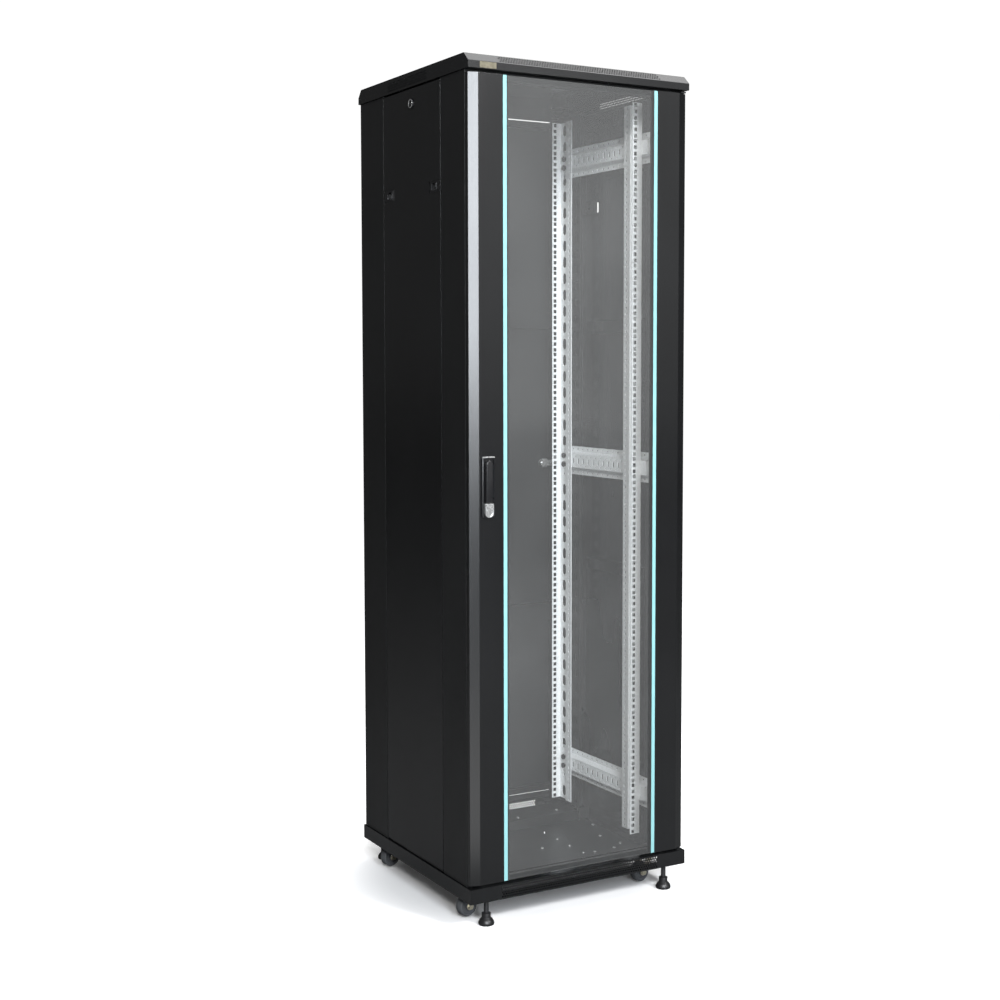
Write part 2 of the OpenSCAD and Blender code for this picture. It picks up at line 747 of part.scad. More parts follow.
module castor_fork() {
    cheek = wheel_w / 2 + 2;
    top = 69.5 - slip;
    color([0.80, 0.76, 0.62]) {
        difference() {
            union() {
                translate([0, 0, top - 5]) cylinder(h = 5, r = 21);
                for (y = [-cheek - 2.5, cheek]) wall_y(y, 2.5) {
                    polygon([[-13, top], [13, top], [trail + 9, axle_z], [trail - 9, axle_z]]);
                    translate([trail, axle_z]) circle(9);
                }
            }
            translate([0, 0, top - 8]) cylinder(h = 12, r = 4 + running);
        }
        wall_y(-cheek - 2.5, 2 * cheek + 5) translate([trail, axle_z]) circle(axle_r);
        for (y = [-cheek - 6.5, cheek + 2.5])
            wall_y(y, 4) translate([trail, axle_z]) circle(d = 13 / cos(30), $fn = 6);
    }
}

module castor_wheel() {
    half = wheel_w / 2;
    r = wheel_dia / 2;
    color([0.22, 0.22, 0.23]) translate([trail, 0, axle_z]) rotate([90, 0, 0])
        rotate_extrude($fn = 72) polygon([
            [axle_r + running, -half - 1], [9, -half - 1], [9, -half + 3], [r - 7, -half + 3],
            [r - 6, -half], [r - 2, -half], [r, -half + 3], [r, half - 3], [r - 2, half],
            [r - 6, half], [r - 7, half - 3], [9, half - 3], [9, half + 1], [axle_r + running, half + 1]]);
}

module castor_fork_front_left() { at_castor(-1, -1) castor_fork(); }
module castor_fork_front_right() { at_castor(1, -1) castor_fork(); }
module castor_fork_rear_left() { at_castor(-1, 1) castor_fork(); }
module castor_fork_rear_right() { at_castor(1, 1) castor_fork(); }
module castor_wheel_front_left() { at_castor(-1, -1) castor_wheel(); }
module castor_wheel_front_right() { at_castor(1, -1) castor_wheel(); }
module castor_wheel_rear_left() { at_castor(-1, 1) castor_wheel(); }
module castor_wheel_rear_right() { at_castor(1, 1) castor_wheel(); }

module foot(sx, sy) {
    color([0.10, 0.10, 0.10]) translate([sx * foot_x, sy * foot_y, 0])
        rotate_extrude() polygon([[0, 0], [18, 0], [19, 2], [19, 6], [16, 12], [11, 17], [11, 28],
                                  [stud_r, 30], [stud_r, 77], [stud_r - 1, 78], [0, 78]]);
}

module foot_front_left() { foot(-1, -1); }
module foot_front_right() { foot(1, -1); }
module foot_rear_left() { foot(-1, 1); }
module foot_rear_right() { foot(1, 1); }

// ---- What is drawn --------------------------------------------------------------------

plinth_frame();
bottom_panel();
castor_cross_members();
top_cover();
corner_post_front_left();
corner_post_front_right();
corner_post_rear_left();
corner_post_rear_right();
top_beam_front();
rear_sill();
fan_cover();
depth_rails_left();
depth_rails_right();
mounting_rail_front_left();
mounting_rail_front_right();
mounting_rail_rear_left();
mounting_rail_rear_right();
depth_rail_brackets();
frame_bolts();
hinge_brackets();
castor_plates();
foot_lock_nuts();
label_plate();
door_stile_left();
door_stile_right();
door_glass();
glass_edge_strips();
door_end_channels();
lock_escutcheon();
lock_cylinder();
lock_spindle();
swing_handle();
key_plug();
rear_door();
rear_lock_body();
rear_lock_knob();
side_panel_left();
side_panel_right();
panel_lock_body_left();
panel_lock_body_right();
panel_lock_plug_left();
panel_lock_plug_right();
side_latch_left_front();
side_latch_left_rear();
side_latch_right_front();
side_latch_right_rear();
castor_fork_front_left();
castor_fork_front_right();
castor_fork_rear_left();
castor_fork_rear_right();
castor_wheel_front_left();
castor_wheel_front_right();
castor_wheel_rear_left();
castor_wheel_rear_right();
foot_front_left();
foot_front_right();
foot_rear_left();
foot_rear_right();
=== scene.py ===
"""A network server rack cabinet: its looks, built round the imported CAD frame. Units are metres."""

import json
import math

import bmesh
import bpy
from mathutils import Matrix, Vector


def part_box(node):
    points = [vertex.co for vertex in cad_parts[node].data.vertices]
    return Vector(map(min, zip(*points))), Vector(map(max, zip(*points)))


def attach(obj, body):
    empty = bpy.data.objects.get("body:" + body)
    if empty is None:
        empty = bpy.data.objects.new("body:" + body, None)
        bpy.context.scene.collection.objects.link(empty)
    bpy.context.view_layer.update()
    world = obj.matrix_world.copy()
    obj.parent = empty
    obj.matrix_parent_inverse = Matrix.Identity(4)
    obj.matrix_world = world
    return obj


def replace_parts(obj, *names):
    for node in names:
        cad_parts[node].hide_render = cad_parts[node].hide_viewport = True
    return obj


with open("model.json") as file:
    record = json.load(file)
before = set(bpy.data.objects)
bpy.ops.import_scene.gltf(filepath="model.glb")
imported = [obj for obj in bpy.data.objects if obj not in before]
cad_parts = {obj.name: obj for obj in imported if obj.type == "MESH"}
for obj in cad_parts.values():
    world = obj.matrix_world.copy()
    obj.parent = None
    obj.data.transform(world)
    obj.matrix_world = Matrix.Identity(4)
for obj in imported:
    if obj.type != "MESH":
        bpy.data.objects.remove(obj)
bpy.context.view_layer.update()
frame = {"nodes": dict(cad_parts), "record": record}

nodes = frame["nodes"]
scene = bpy.context.scene
scene.view_settings.view_transform = "Standard"
MM = 0.001

# The photograph's view. Its own camera has no tilt and a larger shift; this one leans down a little, so
# that the views from other sides stay framed. The tilt and the turn are in degrees.
LENS = 56.15
SENSOR = 36
SHIFT_X = -0.0432
SHIFT_Y = -0.0345
CAMERA_PLACE = (-1.9725, -3.482, 1.3323)
CAMERA_TILT = 3.80
CAMERA_TURN = 30.398

# How bright the surroundings are. Camera rays see BACKDROP and the glowing floor; the rays that light the
# object or mirror in it see ROOM_LIGHT and FLOOR_BOUNCE, which are much dimmer.
ROOM_LIGHT = 0.09
BACKDROP = 1.05
FLOOR_BOUNCE = 0.22

# A painted shadow round the object: the floor's glow rises from the first of these values, near the
# object, to the second, over these radii
FLOOR_PAINTED_SHADOW = 0.03
FLOOR_GLOW = 0.95
SHADOW_FADE_START = 0.30
SHADOW_FADE_END = 0.62
FLOOR_SIZE = 60

# The share of grey veil in the door's glass, how far it varies, and the share of mirror
GLASS_VEIL = 0.035
VEIL_SPREAD = 0.006
GLASS_MIRROR = 0.025

SIDES = ((-1, "left"), (1, "right"))
FORWARD = (0, -1, 0)
BACKWARD = (0, 1, 0)
UP = (0, 0, 1)


# ---- Camera, lights and floor -----------------------------------------------------------

def make_camera():
    data = bpy.data.cameras.new("camera")
    data.lens = LENS
    data.sensor_width = SENSOR
    data.shift_x = SHIFT_X
    data.shift_y = SHIFT_Y
    camera = bpy.data.objects.new("camera", data)
    camera.location = CAMERA_PLACE
    camera.rotation_euler = (math.radians(90 - CAMERA_TILT), 0, math.radians(-CAMERA_TURN))
    scene.collection.objects.link(camera)
    scene.camera = camera


def make_world():
    """White behind the object, and a dimmer room for what lights it and mirrors in it."""
    world = bpy.data.worlds.new("studio")
    world.use_nodes = True
    tree = world.node_tree
    rays = tree.nodes.new("ShaderNodeLightPath")
    strength = tree.nodes.new("ShaderNodeMapRange")
    strength.inputs["To Min"].default_value = ROOM_LIGHT
    strength.inputs["To Max"].default_value = BACKDROP
    background = tree.nodes["Background"]
    background.inputs["Color"].default_value = (1, 1, 1, 1)
    tree.links.new(rays.outputs["Is Camera Ray"], strength.inputs["Value"])
    tree.links.new(strength.outputs["Result"], background.inputs["Strength"])
    scene.world = world


def softbox(name, place, target, size, radiance, tint=(1, 1, 1)):
    """An area light at place that faces target; its power follows from its size and radiance."""
    data = bpy.data.lights.new(name, "AREA")
    data.shape = "RECTANGLE"
    data.size, data.size_y = size
    data.energy = radiance * math.pi * size[0] * size[1]
    data.color = tint
    light = bpy.data.objects.new(name, data)
    light.location = place
    light.visible_camera = False
    light.rotation_euler = (Vector(target) - Vector(place)).to_track_quat("-Z", "Y").to_euler()
    scene.collection.objects.link(light)


def make_lights():
    softbox("key", (-1.25, -5.2, 2.75), (-0.2, -0.3, 1.6), (1.2, 3.5), 28, (0.90, 0.945, 1.0))
    softbox("front", (2.5, -5.0, 2.4), (0, 0, 1.3), (3.0, 3.0), 0.65)
    softbox("rail_light_right", (1.9, -5.0, 4.6), (0, 0, 1.0), (1.0, 1.0), 75)
    softbox("rail_light_left", (-2.9, -4.6, 3.6), (0, 0, 1.0), (1.0, 1.0), 60)
    softbox("floor_card", (-0.62, -1.9, 0.004), (-0.62, -1.9, 1), (0.75, 2.2), 1.7)
    softbox("top", (1.3, 0.3, 5.0), (0.2, 0, 2.0), (3.4, 3.4), 2.8)


def make_floor():
    bpy.ops.mesh.primitive_plane_add(size=FLOOR_SIZE, location=(0, 0, 0))
    floor = bpy.context.object
    floor.name = "floor"
    floor.data.materials.append(floor_with_painted_shadow())


# ---- Material helpers ---------------------------------------------------------------------

def new_material(name):
    material = bpy.data.materials.new(name)
    material.use_nodes = True
    tree = material.node_tree
    return material, tree, tree.nodes["Principled BSDF"]


def coordinates(tree, scale=(1, 1, 1), turn=(0, 0, 0)):
    place = tree.nodes.new("ShaderNodeTexCoord")
    mapping = tree.nodes.new("ShaderNodeMapping")
    mapping.inputs["Scale"].default_value = scale
    mapping.inputs["Rotation"].default_value = turn
    tree.links.new(place.outputs["Object"], mapping.inputs["Vector"])
    return mapping.outputs["Vector"]


def noise(tree, vector, scale, detail=3, roughness=0.55):
    node = tree.nodes.new("ShaderNodeTexNoise")
    node.inputs["Scale"].default_value = scale
    node.inputs["Detail"].default_value = detail
    node.inputs["Roughness"].default_value = roughness
    tree.links.new(vector, node.inputs["Vector"])
    return node.outputs["Fac"]


def ramp(tree, value, low, high, at=(0.3, 0.7)):
    """A colour or grey between low and high as value runs between the two places at."""
    node = tree.nodes.new("ShaderNodeValToRGB")
    for element, place, shade in zip(node.color_ramp.elements, at, (low, high)):
        element.position = place
        element.color = (shade, shade, shade, 1) if isinstance(shade, float) else (*shade, 1)
    tree.links.new(value, node.inputs["Fac"])
    return node.outputs["Color"]


def blend(tree, amount, first, second):
    """Colour first, mixed with second by amount, which is a number or a socket."""
    node = tree.nodes.new("ShaderNodeMix")
    node.data_type = "RGBA"
    if isinstance(amount, float):
        node.inputs["Factor"].default_value = amount
    else:
        tree.links.new(amount, node.inputs["Factor"])
    for socket, value in ((node.inputs[6], first), (node.inputs[7], second)):
        if isinstance(value, tuple):
            socket.default_value = (*value, 1)
        else:
            tree.links.new(value, socket)
    return node.outputs[2]


def bump(tree, shader, height, strength, distance):
    node = tree.nodes.new("ShaderNodeBump")
    node.inputs["Strength"].default_value = strength
    node.inputs["Distance"].default_value = distance
    tree.links.new(height, node.inputs["Height"])
    tree.links.new(node.outputs["Normal"], shader.inputs["Normal"])


# ---- Materials ----------------------------------------------------------------------------

def powder_coat(name, low, high, rough, gloss):
    """Baked powder paint: an orange peel, faint clouds, slanting wipe marks and a little dust."""
    material, tree, shader = new_material(name)
    place = coordinates(tree)
    clouds = ramp(tree, noise(tree, place, scale=2.2, detail=4), low, high)
    specks = noise(tree, coordinates(tree, scale=(1, 1, 0.4)), scale=240, detail=2)
    dust = ramp(tree, specks, 0.0, 0.10, at=(0.66, 0.80))
    dust_grey = (0.05, 0.05, 0.05)
    tree.links.new(blend(tree, dust, clouds, dust_grey), shader.inputs["Base Color"])
    slanting = coordinates(tree, scale=(1, 1, 0.3), turn=(0.5, 0.3, 0))
    wipes = noise(tree, slanting, scale=5.0, roughness=0.5)
    tree.links.new(ramp(tree, wipes, rough[0], rough[1], at=(0.25, 0.75)), shader.inputs["Roughness"])
    shader.inputs["Specular IOR Level"].default_value = gloss
    peel = noise(tree, place, scale=620, detail=2)
    bump(tree, shader, peel, strength=0.022, distance=0.0004)
    return material


def galvanised(name, low, high, metal, rough):
    """Zinc on folded sheet: soft spangle, rolling lines along its length and dull patches."""
    material, tree, shader = new_material(name)
    spangle = tree.nodes.new("ShaderNodeTexVoronoi")
    spangle.inputs["Scale"].default_value = 130
    tree.links.new(coordinates(tree), spangle.inputs["Vector"])
    grey = ramp(tree, spangle.outputs["Distance"], 0.0, 1.0, at=(0.0, 0.9))
    lines = noise(tree, coordinates(tree, scale=(60, 60, 1)), scale=12)
    both = blend(tree, 0.5, grey, lines)
    tree.links.new(ramp(tree, both, low, high, at=(0.2, 0.8)), shader.inputs["Base Color"])
    tree.links.new(ramp(tree, lines, rough[0], rough[1]), shader.inputs["Roughness"])
    shader.inputs["Metallic"].default_value = metal
    bump(tree, shader, lines, strength=0.06, distance=0.0003)
    return material


def moulded(name, low, high, rough, grain=1400, metal=0.0):
    """Moulded plastic or a cast, plated piece: fine grain with handled, shinier patches."""
    material, tree, shader = new_material(name)
    place = coordinates(tree)
    patches = noise(tree, place, scale=35, detail=4)
    tree.links.new(ramp(tree, patches, low, high), shader.inputs["Base Color"])
    tree.links.new(ramp(tree, patches, rough[1], rough[0]), shader.inputs["Roughness"])
    shader.inputs["Metallic"].default_value = metal
    bump(tree, shader, noise(tree, place, grain, detail=2), strength=0.12, distance=0.0003)
    return material


def clear_glass(name):
    """Tempered sheet: see-through behind an even grey veil, with a soft studio reflection."""
    material, tree, veil = new_material(name)
    veil.inputs["Base Color"].default_value = (0.80, 0.80, 0.795, 1)
    veil.inputs["Roughness"].default_value = 0.4
    clear = tree.nodes.new("ShaderNodeBsdfTransparent")
    clear.inputs["Color"].default_value = (0.975, 0.98, 0.975, 1)
    mirror = tree.nodes.new("ShaderNodeBsdfGlossy")
    mirror.inputs["Color"].default_value = (0.96, 0.97, 0.97, 1)
    mirror.inputs["Roughness"].default_value = 0.10
    haze = tree.nodes.new("ShaderNodeMixShader")
    haze_amount = noise(tree, coordinates(tree), scale=3)
    share = ramp(tree, haze_amount, GLASS_VEIL - VEIL_SPREAD, GLASS_VEIL + VEIL_SPREAD)
    tree.links.new(share, haze.inputs[0])
    tree.links.new(clear.outputs[0], haze.inputs[1])
    tree.links.new(veil.outputs[0], haze.inputs[2])
    both = tree.nodes.new("ShaderNodeMixShader")
    both.inputs[0].default_value = GLASS_MIRROR
    tree.links.new(haze.outputs[0], both.inputs[1])
    tree.links.new(mirror.outputs[0], both.inputs[2])
    tree.links.new(both.outputs[0], tree.nodes["Material Output"].inputs["Surface"])
    return material


def floor_with_painted_shadow():
    """A pale studio floor that glows for the camera, with a painted shadow where its glow is low near the
    object; what it throws back onto the object is dimmer than what is seen.
    """
    material, tree, shader = new_material("floor_paint")
    shade = noise(tree, coordinates(tree), scale=0.8)
    tree.links.new(ramp(tree, shade, 0.86, 0.90), shader.inputs["Base Color"])
    shader.inputs["Roughness"].default_value = 0.7
    shader.inputs["Specular IOR Level"].default_value = 0.2
    shader.inputs["Emission Color"].default_value = (1, 1, 1, 1)
    # Painted shadow: the floor's glow is low near the object and rises with the distance from its middle
    radius = tree.nodes.new("ShaderNodeVectorMath")
    radius.operation = "LENGTH"
    tree.links.new(coordinates(tree), radius.inputs[0])
    painted_shadow_glow = tree.nodes.new("ShaderNodeMapRange")
    painted_shadow_glow.interpolation_type = "SMOOTHSTEP"
    painted_shadow_glow.inputs["From Min"].default_value = SHADOW_FADE_START
    painted_shadow_glow.inputs["From Max"].default_value = SHADOW_FADE_END
    painted_shadow_glow.inputs["To Min"].default_value = FLOOR_PAINTED_SHADOW
    painted_shadow_glow.inputs["To Max"].default_value = FLOOR_GLOW
    tree.links.new(radius.outputs["Value"], painted_shadow_glow.inputs["Value"])
    tree.links.new(painted_shadow_glow.outputs["Result"], shader.inputs["Emission Strength"])
    dim = tree.nodes.new("ShaderNodeBsdfDiffuse")
    dim.inputs["Color"].default_value = (FLOOR_BOUNCE, FLOOR_BOUNCE, FLOOR_BOUNCE, 1)
    rays = tree.nodes.new("ShaderNodeLightPath")
    seen = tree.nodes.new("ShaderNodeMixShader")
    tree.links.new(rays.outputs["Is Camera Ray"], seen.inputs[0])
    tree.links.new(dim.outputs[0], seen.inputs[1])
    tree.links.new(shader.outputs[0], seen.inputs[2])
    tree.links.new(seen.outputs[0], tree.nodes["Material Output"].inputs["Surface"])
    return material


# Each finish has its darkest and lightest colour and its range of roughness. After those, paint has its
# gloss, zinc its metalness before the roughness, and a moulded finish its grain and metalness.
MATERIALS = {
    "frame_paint": powder_coat("frame_paint", (0.006, 0.0063, 0.0066), (0.010, 0.0105, 0.011),
                               (0.36, 0.46), 0.40),
    "outer_paint": powder_coat("outer_paint", (0.004, 0.0042, 0.0045), (0.007, 0.0073, 0.0078),
                               (0.22, 0.29), 0.50),
    "zinc": galvanised("zinc", (0.76, 0.77, 0.78), (0.88, 0.89, 0.90), 0.10, (0.34, 0.5)),
    "black_steel": moulded("black_steel", (0.02, 0.02, 0.021), (0.04, 0.04, 0.042),
                           (0.35, 0.5), 900, 0.6),
    "castor_zinc": galvanised("castor_zinc", (0.55, 0.50, 0.36), (0.82, 0.78, 0.66), 0.8, (0.25, 0.4)),
    "castor_tread": moulded("castor_tread", (0.06, 0.063, 0.068), (0.10, 0.105, 0.112), (0.4, 0.6)),
    "foot_plastic": moulded("foot_plastic", (0.006, 0.006, 0.0065), (0.014, 0.014, 0.015),
                            (0.35, 0.5)),
    "plate": galvanised("plate", (0.09, 0.08, 0.055), (0.17, 0.155, 0.11), 0.5, (0.3, 0.45)),
    "door_glass": clear_glass("door_glass"),
    "edge_print": moulded("edge_print", (0.22, 0.46, 0.475), (0.245, 0.49, 0.505), (0.15, 0.25)),
    "black_plastic": moulded("black_plastic", (0.005, 0.005, 0.0055), (0.010, 0.010, 0.011),
                             (0.20, 0.30)),
    "lock_metal": moulded("lock_metal", (0.42, 0.42, 0.42), (0.62, 0.62, 0.61),
                          (0.20, 0.34), 700, 0.7),
}


# Nodes that are shown in another slot's finish, duller or darker than their own
NODE_FINISHES = {
    "lock_spindle": "black_steel",
    "panel_lock_plug_left": "black_steel",
    "panel_lock_plug_right": "black_steel",
    "rear_door": "frame_paint",
}


def paint_nodes():
    for part in frame["record"]["subparts"]:
        node = nodes[part["node"]]
        node.data.materials.clear()
        finish = NODE_FINISHES.get(part["node"], part["material_slot"])
        node.data.materials.append(MATERIALS[finish])


# ---- Edges of the CAD nodes ---------------------------------------------------------------

BEVEL_SEGMENTS = 2
BEVEL_ANGLE = 35
WELD_DISTANCE = 0.00002

# Bend and edge radii in millimetres, by how the node's name starts. Other nodes keep their sharp edges.
EDGE_RADII = {
    "corner_post": 1.0, "door_stile": 0.9, "rear_door": 0.25, "side_panel": 1.0, "lock_escutcheon": 0.4,
    "lock_cylinder": 0.7, "rear_lock": 0.8, "panel_lock": 0.4, "side_latch": 0.3,
    "castor_fork": 0.5, "castor_wheel": 0.8, "castor_plates": 0.4, "foot_": 0.6, "frame_bolts": 0.4,
    "top_beam": 0.6, "label_plate": 0.2, "hinge_brackets": 0.4, "door_glass": 0.5, "fan_cover": 0.6,
    "rear_sill": 0.6, "bottom_panel": 1.4, "door_end_channels": 0.6,
}


def add_bevel(piece, radius):
    bevel = piece.modifiers.new("bevel", "BEVEL")
    bevel.width = radius
    bevel.segments = BEVEL_SEGMENTS
    bevel.limit_method = "ANGLE"
    bevel.angle_limit = math.radians(BEVEL_ANGLE)
    bevel.harden_normals = True


def round_edges():
    for name, node in nodes.items():
        radius = next((r for start, r in EDGE_RADII.items() if name.startswith(start)), None)
        if radius is None:
            continue
        weld = node.modifiers.new("weld", "WELD")
        weld.merge_threshold = WELD_DISTANCE
        add_bevel(node, radius * MM)


# ---- Mesh builders ------------------------------------------------------------------------

def in_mm(points):
    """The points in metres, from pairs in millimetres."""
    return [(a * MM, b * MM) for a, b in points]


def middle(low, high):
    return (Vector(low) + Vector(high)) / 2


def front_of(name):
    """The Y of a node's front face."""
    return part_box(name)[0][1]


def facing(axis, place):
    """A matrix at place whose Z axis points along axis."""
    turn = Vector(axis).to_track_quat("Z", "Y").to_matrix().to_4x4()
    return Matrix.Translation(Vector(place)) @ turn


def bridge(bm, rings, closed=False):
    """Skins a list of vertex rings; a ring of one vertex is a pole."""
    pairs = list(zip(rings, rings[1:])) + ([(rings[-1], rings[0])] if closed else [])
    for first, second in pairs:
        for i in range(max(len(first), len(second))):
            j = i + 1
            corners = [first[i % len(first)], first[j % len(first)],
                       second[j % len(second)], second[i % len(second)]]
            bm.faces.new(list(dict.fromkeys(corners)))


def lathe(bm, matrix, profile, steps=32, closed=False):
    """Turns a profile of (radius, height) about the matrix's Z axis; radius 0 is a pole."""
    rings = []
    for radius, height in profile:
        count = steps if radius > 0 else 1
        angles = [2 * math.pi * k / count for k in range(count)]
        spots = [Vector((radius * math.cos(a), radius * math.sin(a), height)) for a in angles]
        rings.append([bm.verts.new(matrix @ spot) for spot in spots])
    bridge(bm, rings, closed)


def prism(bm, matrix, outline, height):
    """Raises a flat outline of (x, y) from the matrix's XY plane to height."""
    bottom = [bm.verts.new(matrix @ Vector((x, y, 0))) for x, y in outline]
    top = [bm.verts.new(matrix @ Vector((x, y, height))) for x, y in outline]
    bm.faces.new(bottom[::-1])
    bm.faces.new(top)
    bridge(bm, [bottom, top])


def rounded(width, height, radius, steps=5):
    """A rounded rectangle about the origin as (x, y, outward x, outward y), anticlockwise."""
    path = []
    for quarter in range(4):
        sx = 1 if quarter in (0, 3) else -1
        sy = 1 if quarter < 2 else -1
        for k in range(steps + 1):
            angle = math.radians(90 * (quarter + k / steps))
            nx, ny = math.cos(angle), math.sin(angle)
            path.append((sx * (width / 2 - radius) + radius * nx,
                         sy * (height / 2 - radius) + radius * ny, nx, ny))
    return path


def rim(bm, matrix, path, profile):
    """Runs a closed profile of (outward, up) along a closed path such as rounded() gives."""
    rings = [[bm.verts.new(matrix @ Vector((x + nx * out, y + ny * out, up))) for out, up in profile]
             for x, y, nx, ny in path]
    bridge(bm, rings, closed=True)


def cross_screw(bm, place, axis, radius, height):
    """A pan-head screw with a cross recess, seated at place and facing along axis."""
    matrix = facing(axis, place)
    arm = 0.62 * radius
    half = 0.15 * radius
    right = math.radians(90)
    edge = math.atan2(half, arm)
    diagonal = math.radians(45)
    between = (edge + diagonal) / 2
    quarter = [0, edge, between, diagonal, right - between, right - edge]
    angles = [q + right * k for k in range(4) for q in quarter]

    def cross(angle):
        lean = abs((angle + diagonal) % right - diagonal)
        return arm / math.cos(lean) if lean <= edge + 1e-6 else half / math.sin(lean)

    def ring(size, up):
        return [bm.verts.new(matrix @ Vector((size(a) * math.cos(a), size(a) * math.sin(a), up)))
                for a in angles]

    # The head's edge as shares of its radius and height
    crown = [(1.0, 0.0), (1.0, 0.35), (0.93, 0.70), (0.78, 0.94), (0.68, 1.0)]
    rings = [[bm.verts.new(matrix @ Vector((0, 0, 0)))]]
    rings += [ring(lambda a, r=r: radius * r, height * up) for r, up in crown]
    rings += [ring(cross, height), ring(cross, height * 0.45)]
    rings.append([bm.verts.new(matrix @ Vector((0, 0, height * 0.35)))])
    bridge(bm, rings)


def add_piece(name, bm, slot, body, edge=0.0, smooth=38):
    """Turns a bmesh into a piece with a slot's material that rides on a body; edge is its bevel."""
    bmesh.ops.recalc_face_normals(bm, faces=bm.faces)
    mesh = bpy.data.meshes.new(name)
    bm.to_mesh(mesh)
    bm.free()
    piece = bpy.data.objects.new(name, mesh)
    scene.collection.objects.link(piece)
    mesh.materials.append(MATERIALS[slot])
    mesh.shade_smooth()
    mesh.set_sharp_from_angle(angle=math.radians(smooth))
    if edge:
        add_bevel(piece, edge)
    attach(piece, body)
    return piece


# ---- Front door pieces --------------------------------------------------------------------

def lock_trim():
    """The rim round the escutcheon, a bright metal bar along its top as a painted highlight, and the oval
    cover on the key plate.
    """
    low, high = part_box("lock_escutcheon")
    centre_x = middle(low, high).x
    front = front_of("lock_escutcheon")
    border = 6 * MM
    matrix = facing(FORWARD, (centre_x, front, (low[2] + high[2]) / 2))
    bm = bmesh.new()
    rim(bm, matrix, rounded(high[0] - low[0] - border, high[2] - low[2] - border, 2.5 * MM),
        in_mm([(3, 0), (3, 2.2), (2.6, 2.8), (0.4, 3.6), (-0.4, 3.2), (-0.6, 0)]))
    add_piece("lock_rim", bm, "black_plastic", "front_door", edge=0.5 * MM)

    # Painted highlight: the bright metal bar along the rim's top stands for the light that the black
    # rim's top edge catches
    bm = bmesh.new()
    highlight_bar = facing(FORWARD, (centre_x, front - 0.2 * MM, high[2] - 2.2 * MM))
    width = (high[0] - low[0]) / 2 - 1 * MM
    tall = 1.6 * MM
    deep = 3.9 * MM
    prism(bm, highlight_bar, [(-width, -tall), (width, -tall), (width, tall), (-width, tall)], deep)
    add_piece("lock_top_painted_highlight", bm, "lock_metal", "front_door", edge=0.8 * MM)

    low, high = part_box("key_plug")
    plate = front_of("lock_cylinder") + 0.4 * MM
    key = facing(FORWARD, ((low[0] + high[0]) / 2, plate, (low[2] + high[2]) / 2 + 1 * MM))
    bm = bmesh.new()
    rim(bm, key, rounded(14.4 * MM, 18.6 * MM, 7.15 * MM, steps=8),
        in_mm([(1.9, 0), (1.6, 1.2), (0.9, 1.9), (0.2, 1.6), (0, 0)]))
    add_piece("key_cover", bm, "lock_metal", "front_door", edge=0.2 * MM)


def lever_path(width, bottom, top, corner):
    """The lever's outline, round at its top, as (x, y, outward x, outward y)."""
    # Each arc has its centre, its radius, where it starts and ends in degrees, and its steps
    arcs = [(0, top - width / 2, width / 2, 0, 180, 14),
            (corner - width / 2, bottom + corner, corner, 180, 270, 4),
            (width / 2 - corner, bottom + corner, corner, 270, 360, 4)]
    path = []
    for cx, cy, radius, start, end, count in arcs:
        for k in range(count + 1):
            angle = math.radians(start + (end - start) * k / count)
            nx, ny = math.cos(angle), math.sin(angle)
            path.append((cx + radius * nx, cy + radius * ny, nx, ny))
    return path[:-1]


def lever():
    """The moulded lever that takes the CAD one's place: a bar with a rolled edge, on a boss.

    Its back stands off, so that it clears the lock's rim when it turns without being lifted.
    """
    stand = 3.5
    low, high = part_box("swing_handle")
    centre_x = (low[0] + high[0]) / 2
    matrix = facing(FORWARD, (centre_x, high[1], 0))
    thick = (high[1] - low[1]) / MM
    path = lever_path(high[0] - low[0], low[2], high[2], 3 * MM)
    # (outward, forward) in millimetres, from the back round the rolled edge to the front
    roll = [(-0.6, stand), (0, stand + 0.6), (0, thick - 2.35), (-0.25, thick - 2.1),
            (-0.9, thick - 1.0), (-1.9, thick - 0.25), (-2.9, thick)]
    bm = bmesh.new()
    rings = [[bm.verts.new(matrix @ Vector((x + nx * out * MM, y + ny * out * MM, up * MM)))
              for x, y, nx, ny in path] for out, up in roll]
    bridge(bm, rings)
    bm.faces.new(rings[0][::-1])
    bm.faces.new(rings[-1])
    spindle_low, spindle_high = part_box("lock_spindle")
    boss = facing(FORWARD, (centre_x, high[1], (spindle_low[2] + spindle_high[2]) / 2))
    lathe(bm, boss, in_mm([(0, 0), (5.5, 0), (5, stand + 0.5), (0, stand + 0.5)]))
    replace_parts(add_piece("lever", bm, "black_plastic", "swing_handle", smooth=50), "swing_handle")


def glass_seal():
    """A foam seal round the glass's back."""
    low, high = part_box("door_glass")
    matrix = facing(BACKWARD, (0, high[1], (low[2] + high[2]) / 2))
    border_x = 6 * MM
    border_z = 34 * MM
    bm = bmesh.new()
    rim(bm, matrix, rounded(high[0] - low[0] - border_x, high[2] - low[2] - border_z, 4 * MM),
        in_mm([(1.5, 0), (1.5, 1.2), (0.8, 2), (-0.8, 2), (-1.5, 1.2), (-1.5, 0)]))
    add_piece("glass_seal", bm, "black_plastic", "front_door")


def door_screws():
    """Screws that hold the end channels to the stiles, on the door's back."""
    bm = bmesh.new()
    low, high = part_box("door_end_channels")
    for x in (low[0] + 8 * MM, high[0] - 8 * MM):
        for z in (low[2] + 6 * MM, high[2] - 6 * MM):
            cross_screw(bm, (x, high[1], z), BACKWARD, radius=3.2 * MM, height=1.6 * MM)
    add_piece("door_screws", bm, "black_steel", "front_door")


# ---- Side panels and rear door --------------------------------------------------------------

